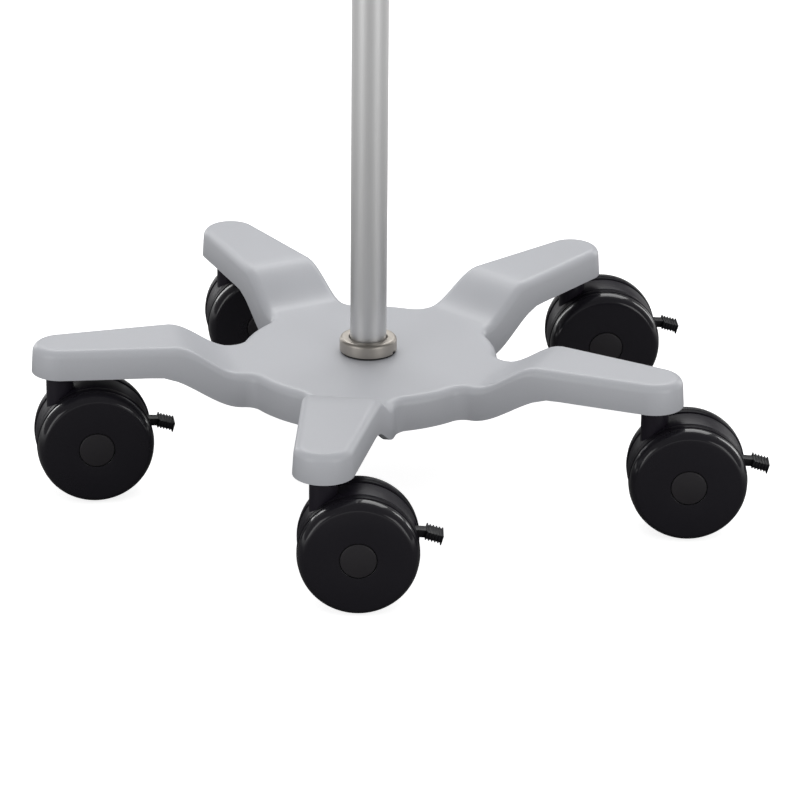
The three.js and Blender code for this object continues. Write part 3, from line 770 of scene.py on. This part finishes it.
for side in "ab":
    wheel = f"wheel_{side}"
    on_casters(
        lambda: on_axle(tread(), side), f"tread_{side}", wheel, TREAD, f"tyre_{side}",
    )
    on_casters(
        lambda: on_axle(cover(), side), f"cover_{side}", wheel, GLOSS, wheel,
    )
    on_casters(
        lambda: on_axle(hub_cap(), side), f"cap_{side}", wheel, MATTE,
        f"hub_cap_{side}",
    )
print("wheels made:", 2 * len(CASTERS))

# %% [markdown]
# Between the wheels of a caster is its hood: a flat slab cut to a circle just inside the
# tread, with a round neck rising from it to the leg. A slot at its rear end takes the brake
# lever. The slab starts as one point swept about the axle, is filled, and is given thickness.

# %% Hood and neck
HOOD_FROM = -6
HOOD_TO = 192
BOSS_RADIUS = 17
BOSS_FROM = 225
BOSS_TURN = 90
BOSS_STEPS = 8
STEM_DEPTH = 12
NECK_RADIUS = HOOD_HALF - 0.2
PIVOT_X = TREAD_RADIUS - 18.8
PIVOT_Z = 13
BARREL = 5
LEVER_HALF = 5
LEVER_THICK = 6.6
SLOT_GAP = 0.6


def swept_plate(radius, start, turn, others, half, steps=40):
    """An upright plate about the axle: an arc of a radius, closed through other points."""
    bm = bmesh.new()
    first = math.radians(start)
    corner = bm.verts.new(Vector((math.cos(first), 0, math.sin(first))) * radius * MM)
    bmesh.ops.spin(
        bm, geom=[corner], cent=(0, 0, 0), axis=(0, -1, 0), angle=math.radians(turn), steps=steps,
    )
    rim = list(bm.verts)
    for x, z in others:
        rim.append(bm.verts.new(Vector((x, 0, z)) * MM))
    for a, b in zip(rim, rim[1:] + rim[:1]):
        if not bm.edges.get((a, b)):
            bm.edges.new((a, b))
    bmesh.ops.contextual_create(bm, geom=bm.edges[:])
    bmesh.ops.translate(bm, verts=bm.verts, vec=(0, -half * MM, 0))
    slab = bmesh.ops.extrude_face_region(bm, geom=bm.faces[:])
    top = [v for v in slab["geom"] if isinstance(v, bmesh.types.BMVert)]
    bmesh.ops.translate(bm, verts=top, vec=(0, 2 * half * MM, 0))
    return tidied(bm)


def hood():
    """The hood round the axle with its slot, and the neck, where a caster stands on Z."""
    under = []
    for step in range(BOSS_STEPS + 1):
        angle = math.radians(BOSS_FROM + BOSS_TURN * step / BOSS_STEPS)
        under.append((BOSS_RADIUS * math.cos(angle), BOSS_RADIUS * math.sin(angle)))
    slab = swept_plate(HOOD_RADIUS, HOOD_FROM, HOOD_TO - HOOD_FROM, under, HOOD_HALF)
    half = LEVER_HALF + SLOT_GAP
    slot_cut = block(
        (PIVOT_X - BARREL - 2 * SLOT_GAP, -half, PIVOT_Z - BARREL - LEVER_THICK),
        (TREAD_RADIUS + CUT_PAST, half, PIVOT_Z + BARREL + SLOT_GAP),
    )
    slab = bevelled(carved(slab, slot_cut), 1.0)
    bmesh.ops.translate(slab, verts=slab.verts, vec=Vector((TRAIL, 0, TREAD_RADIUS)) * MM)
    stem_floor = NECK_TOP - STEM_DEPTH
    neck = turned([
        (0, TREAD_RADIUS, 0), (NECK_RADIUS, TREAD_RADIUS, 0), (NECK_RADIUS, NECK_TOP, 0.8),
        (STEM_RADIUS + GAP, NECK_TOP, 0), (STEM_RADIUS + GAP, stem_floor, 0),
        (0, stem_floor, 0),
    ], around=64, closed=False)
    return merged([slab, neck])


on_casters(hood, "hood", "swivel", HOOD, "housing", smooth=40)
print(f"hood: {2 * HOOD_HALF} mm thick between the wheels, neck {2 * NECK_RADIUS:.1f} mm across")

# %% [markdown]
# The brake lever is a short bar that pivots in the slot and ends in a foot pad. The pad is a
# block with fins across it, so that a shoe doesn't slip. The fins are separate closed slabs
# that stand slightly proud of the block on every side.

# %% Brake lever
ARM_END = TREAD_RADIUS + 5.2 - PIVOT_X
PAD_LENGTH = 14.5
PAD_HALF = 9
PAD_THICK = 6
PAD_DROOP = math.radians(12)
ARM_IN_PAD = 2
LEVER_TILT = math.radians(4)
FINS = 6
FIN_THICK = 1.2
FIN_PROUD = 0.9
FIN_RISE = 0.7
HEEL_RISE = 0.5
TOE_DROP = 1.8


def lever():
    """The barrel on its pivot, the arm and the finned pad, where a caster stands on Z."""
    half = LEVER_THICK / 2
    barrel = turned([
        (0, -LEVER_HALF, 0), (BARREL, -LEVER_HALF, 0.6), (BARREL, LEVER_HALF, 0.6),
        (0, LEVER_HALF, 0),
    ], around=32, closed=False)
    bmesh.ops.rotate(
        barrel, verts=barrel.verts, cent=(0, 0, 0), matrix=Matrix.Rotation(math.pi / 2, 3, "X"),
    )
    arm_corner = (ARM_END + ARM_IN_PAD, LEVER_HALF, half)
    arm = bevelled(block((0, -LEVER_HALF, -half), arm_corner), 0.8)
    core_half = PAD_HALF - FIN_PROUD
    core = block(
        (0, -core_half, -PAD_THICK), (PAD_LENGTH - FIN_THICK / 2, core_half, 0),
    )
    core = bevelled(core, 0.5)
    pitch = (PAD_LENGTH - FIN_THICK) / (FINS - 1)
    fins = []
    for i in range(FINS):
        x = i * pitch
        drop = PAD_THICK + (TOE_DROP if i == FINS - 1 else FIN_RISE)
        rise = FIN_RISE + (HEEL_RISE if i == 0 else 0)
        fin = block((x, -PAD_HALF, -drop), (x + FIN_THICK, PAD_HALF, rise))
        fins.append(bevelled(fin, 0.35, segments=2))
    pad = merged([core, *fins])
    place = (
        Matrix.Translation(Vector((ARM_END, 0, half)) * MM) @ Matrix.Rotation(PAD_DROOP, 4, "Y")
    )
    bmesh.ops.transform(pad, matrix=place, verts=pad.verts)
    whole = merged([barrel, arm, pad])
    place = (
        Matrix.Translation(Vector((TRAIL + PIVOT_X, 0, TREAD_RADIUS + PIVOT_Z)) * MM)
        @ Matrix.Rotation(LEVER_TILT, 4, "Y")
    )
    bmesh.ops.transform(whole, matrix=place, verts=whole.verts)
    return whole


on_casters(lever, "lever", "brake", LEVER, "brake_lever", smooth=40)
print(f"levers: {len(CASTERS)}, with {FINS} fins each")

# %% [markdown]
# The stems, the axles, the plug, the bolt and its washer are out of sight, or nearly so. The
# frame has them as closed solids of the right size, so they stay and only get a finish.

# %% Pieces that stay as the frame has them
for node in frame["nodes"].values():
    if not node.hide_render:
        node.data.materials.clear()
        node.data.materials.append(STEEL)
        print("kept:", node.name)

# %% [markdown]
# ## The studio
# The stand is shown on white, but a white floor would fill the black wheels with its own
# reflection. A product studio solves this by lighting the backdrop apart from the object. Here
# the floor does the same. The camera sees it almost white, with only a faint shadow. Every
# other ray meets a dark mat under the object and glowing paper further away, so the wheels stay
# black while the tube mirrors the paper. One large box above and behind lights the tops, two
# narrow ones low behind draw a line round the wheels' rims, and two beside the camera light the
# walls. The sky is white to the camera and fills the shadows, but it is dim in mirrored rays,
# again for the wheels.

# %% Floor
CAMERA_FLOOR = 0.6
CAMERA_GLOW = 0.8
MAT_TONE = 0.12
MAT_EDGE = (0.45, 1.0)
PAPER_GLOW = 0.8

floor_bm = bmesh.new()
bmesh.ops.create_grid(floor_bm, x_segments=1, y_segments=1, size=15)
floor_mesh = bpy.data.meshes.new("floor")
floor_bm.to_mesh(floor_mesh)
floor_bm.free()
floor = bpy.data.objects.new("floor", floor_mesh)
scene.collection.objects.link(floor)
pale = bpy.data.materials.new("pale_floor")
pale.use_nodes = True
tree = pale.node_tree
link = tree.links.new
paper = tree.nodes["Principled BSDF"]
for socket, value in {
    "Base Color": (CAMERA_FLOOR, CAMERA_FLOOR, CAMERA_FLOOR, 1),
    "Roughness": 1,
    "Specular IOR Level": 0,
    "Emission Color": (1, 1, 1, 1),
    "Emission Strength": CAMERA_GLOW,
}.items():
    paper.inputs[socket].default_value = value
mat = add(tree, "ShaderNodeBsdfDiffuse", Color=(MAT_TONE, MAT_TONE, MAT_TONE, 1))
glow = add(tree, "ShaderNodeEmission", Strength=PAPER_GLOW)
place = add(tree, "ShaderNodeTexCoord")
distance = add(tree, "ShaderNodeVectorMath", operation="LENGTH")
outside = add(tree, "ShaderNodeMapRange", From_Min=MAT_EDGE[0], From_Max=MAT_EDGE[1])
around = add(tree, "ShaderNodeMixShader")
path = add(tree, "ShaderNodeLightPath")
choose = add(tree, "ShaderNodeMixShader")
link(place.outputs["Object"], distance.inputs[0])
link(distance.outputs["Value"], outside.inputs["Value"])
link(outside.outputs["Result"], around.inputs["Fac"])
link(mat.outputs["BSDF"], around.inputs[1])
link(glow.outputs["Emission"], around.inputs[2])
link(path.outputs["Is Camera Ray"], choose.inputs["Fac"])
link(around.outputs["Shader"], choose.inputs[1])
link(paper.outputs["BSDF"], choose.inputs[2])
link(choose.outputs["Shader"], tree.nodes["Material Output"].inputs["Surface"])
floor_mesh.materials.append(pale)


# %% Lights
def softbox(name, azimuth, elevation, distance, size, power):
    """A rectangle of soft light that points at the object from one side."""
    lamp = bpy.data.lights.new(name, "AREA")
    lamp.shape = "RECTANGLE"
    lamp.size, lamp.size_y = size
    lamp.energy = power
    holder = bpy.data.objects.new(name, lamp)
    scene.collection.objects.link(holder)
    a, e = math.radians(azimuth), math.radians(elevation)
    away = Vector((math.sin(a) * math.cos(e), -math.cos(a) * math.cos(e), math.sin(e)))
    holder.location = AIM + away * distance
    holder.rotation_mode = "QUATERNION"
    holder.rotation_quaternion = (-away).to_track_quat("-Z", "Y")
    print(f"{name}: {power} W")


softbox("back_box", 185, 44, 2.6, (2.8, 1.3), 33)
softbox("left_rim", 225, 14, 2.6, (0.5, 1.4), 8)
softbox("right_rim", 140, 14, 2.6, (0.5, 1.4), 8)
softbox("left_box", -42, 13, 2.6, (1.2, 1.6), 13)
softbox("right_box", 52, 13, 2.6, (1.2, 1.6), 13)

# %% Sky
SKY_FILL = 0.6
SKY_MIRRORED = 0.16
SKY_SEEN = 1
world = bpy.data.worlds.new("studio")
scene.world = world
world.use_nodes = True
sky = world.node_tree
link = sky.links.new
backdrop = sky.nodes["Background"]
backdrop.inputs["Color"].default_value = (1, 1, 1, 1)
ray = add(sky, "ShaderNodeLightPath")
lighting = add(sky, "ShaderNodeMapRange", To_Min=SKY_FILL, To_Max=SKY_MIRRORED)
strength = add(sky, "ShaderNodeMapRange", To_Max=SKY_SEEN)
link(ray.outputs["Is Glossy Ray"], lighting.inputs["Value"])
link(ray.outputs["Is Camera Ray"], strength.inputs["Value"])
link(lighting.outputs["Result"], strength.inputs["To Min"])
link(strength.outputs["Result"], backdrop.inputs["Strength"])
scene.view_settings.view_transform = "Standard"
